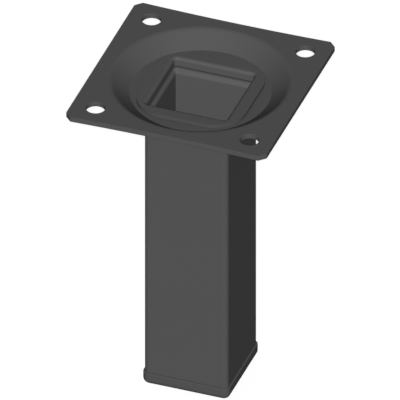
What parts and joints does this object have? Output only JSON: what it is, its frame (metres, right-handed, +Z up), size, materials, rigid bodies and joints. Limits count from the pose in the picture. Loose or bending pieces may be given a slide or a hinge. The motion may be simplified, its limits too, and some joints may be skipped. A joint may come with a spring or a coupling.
{
  "type": "square metal table leg",
  "caption": "Short square-tube furniture leg with a dished square screw plate clinched to its top and a moulded plastic foot in its lower end.",
  "frame": {"origin": "on the floor, under the middle of the foot", "axes": "+Z up along the leg to the mounting plate, +X and +Y square to the tube's sides; the plate's two slightly drawn-in sides face +Y and -Y"},
  "size_m": [0.06, 0.0598, 0.099],
  "materials": {
    "plate_steel": "matt dark grey powder coat",
    "tube_steel": "matt dark grey powder coat",
    "foot_plastic": "fine moulded texture, dark grey"
  },
  "bodies": {
    "root": {"mounting_plate": "plate_steel", "leg_tube": "tube_steel", "foot_cap": "foot_plastic"}
  },
  "joints": []
}
